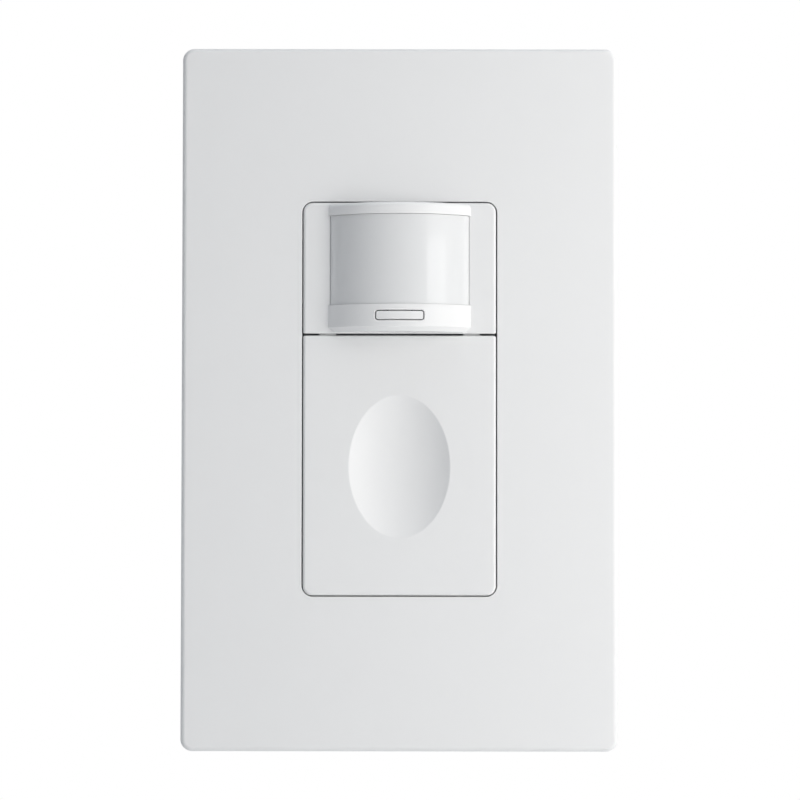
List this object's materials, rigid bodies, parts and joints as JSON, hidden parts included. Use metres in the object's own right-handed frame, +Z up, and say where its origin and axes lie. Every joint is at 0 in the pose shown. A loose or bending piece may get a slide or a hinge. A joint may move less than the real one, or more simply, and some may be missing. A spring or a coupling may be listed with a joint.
{
  "type": "motion sensor light switch",
  "caption": "in-wall occupancy sensor switch with a half-round lens hood above a tilting push pad with an oval dimple, behind a screwless wall plate",
  "frame": {"origin": "middle of the mounting strap's back on the wall surface, halfway between the two wall box screws", "axes": "+Y points into the wall and -Y towards the room, +Z is up, +X is to the right seen from the room"},
  "size_m": [0.0742, 0.0448, 0.1196],
  "materials": {
    "plate_plastic": "satin white polycarbonate",
    "device_plastic": "satin white polycarbonate",
    "lens_plastic": "milky polyethylene, slightly glossy",
    "frame_plastic": "moulded white plastic, fine matt grain",
    "tub_plastic": "black thermoplastic, fine matt grain",
    "key_plastic": "plain moulded plastic",
    "zinc_steel": "zinc plated steel",
    "green_steel": "green dyed steel",
    "nickel": "nickel plating",
    "brass_sheet": "plain brass",
    "fibre": "vulcanised fibre",
    "board_laminate": "green solder resist on laminate",
    "filter_glass": "dark infrared filter",
    "lamp_resin": "clear moulded resin, tinted",
    "black_resin": "moulded black resin",
    "blue_resin": "dipped blue resin",
    "yellow_resin": "moulded yellow case"
  },
  "bodies": {
    "base": {"wall_plate": "plate_plastic", "mounting_frame": "frame_plastic", "frame_screws": "zinc_steel", "mounting_strap": "zinc_steel", "box_screws": "zinc_steel", "screw_retainers": "fibre", "ground_screw": "green_steel", "front_housing": "device_plastic", "rear_housing": "tub_plastic", "housing_screws": "zinc_steel", "insulating_sheet": "fibre", "lens": "lens_plastic", "lens_retainer": "tub_plastic", "sensor_board": "board_laminate", "pir_can": "nickel", "pir_window": "filter_glass", "pir_pins": "nickel", "photocell": "lamp_resin", "status_led": "lamp_resin", "controller_chip": "black_resin", "board_connector": "black_resin", "pad_switch_body": "black_resin", "mode_switch_body": "black_resin", "time_trimmer_body": "blue_resin", "light_trimmer_body": "blue_resin", "power_board": "board_laminate", "relay": "black_resin", "film_capacitor": "yellow_resin", "electrolytic_capacitors": "black_resin", "varistor": "blue_resin", "fuse_resistor": "blue_resin", "filter_choke": "black_resin", "bridge_rectifier": "black_resin", "line_terminal": "brass_sheet", "load_terminal": "brass_sheet", "neutral_terminal": "nickel", "terminal_screws": "brass_sheet", "neutral_screw": "nickel"},
    "pad": {"push_pad": "device_plastic"},
    "pad_plunger": {"pad_switch_plunger": "key_plastic"},
    "mode_key": {"mode_button": "device_plastic"},
    "mode_plunger": {"mode_switch_plunger": "key_plastic"},
    "time_setting": {"time_dial": "key_plastic"},
    "light_setting": {"light_dial": "key_plastic"}
  },
  "joints": [
    {"name": "pad_press", "type": "hinge", "parent": "base", "child": "pad", "pos_m": [0, -0.006, 0.0135], "axis": [1, 0, 0], "range_deg": [0, 1.2], "stiffness_Nm_per_rad": 0.6},
    {"name": "pad_plunger_slide", "type": "slide", "parent": "base", "child": "pad_plunger", "axis": [0, 1, 0], "range_m": [0, 0.000524]},
    {"name": "mode_press", "type": "slide", "parent": "base", "child": "mode_key", "axis": [0, 1, 0], "range_m": [0, 0.00035], "stiffness_N_per_m": 2000},
    {"name": "mode_plunger_slide", "type": "slide", "parent": "base", "child": "mode_plunger", "axis": [0, 1, 0], "range_m": [0, 0.00035]},
    {"name": "time_dial_turn", "type": "hinge", "parent": "base", "child": "time_setting", "pos_m": [-0.0062, -0.0036, 0.0046], "axis": [0, 1, 0], "range_deg": [-135, 135]},
    {"name": "light_dial_turn", "type": "hinge", "parent": "base", "child": "light_setting", "pos_m": [0.0062, -0.0036, 0.0046], "axis": [0, 1, 0], "range_deg": [-135, 135]}
  ],
  "couplings": [
    {"joint": "pad_plunger_slide", "follows": "pad_press", "m_per_rad": 0.025},
    {"joint": "mode_plunger_slide", "follows": "mode_press", "ratio": 1}
  ]
}
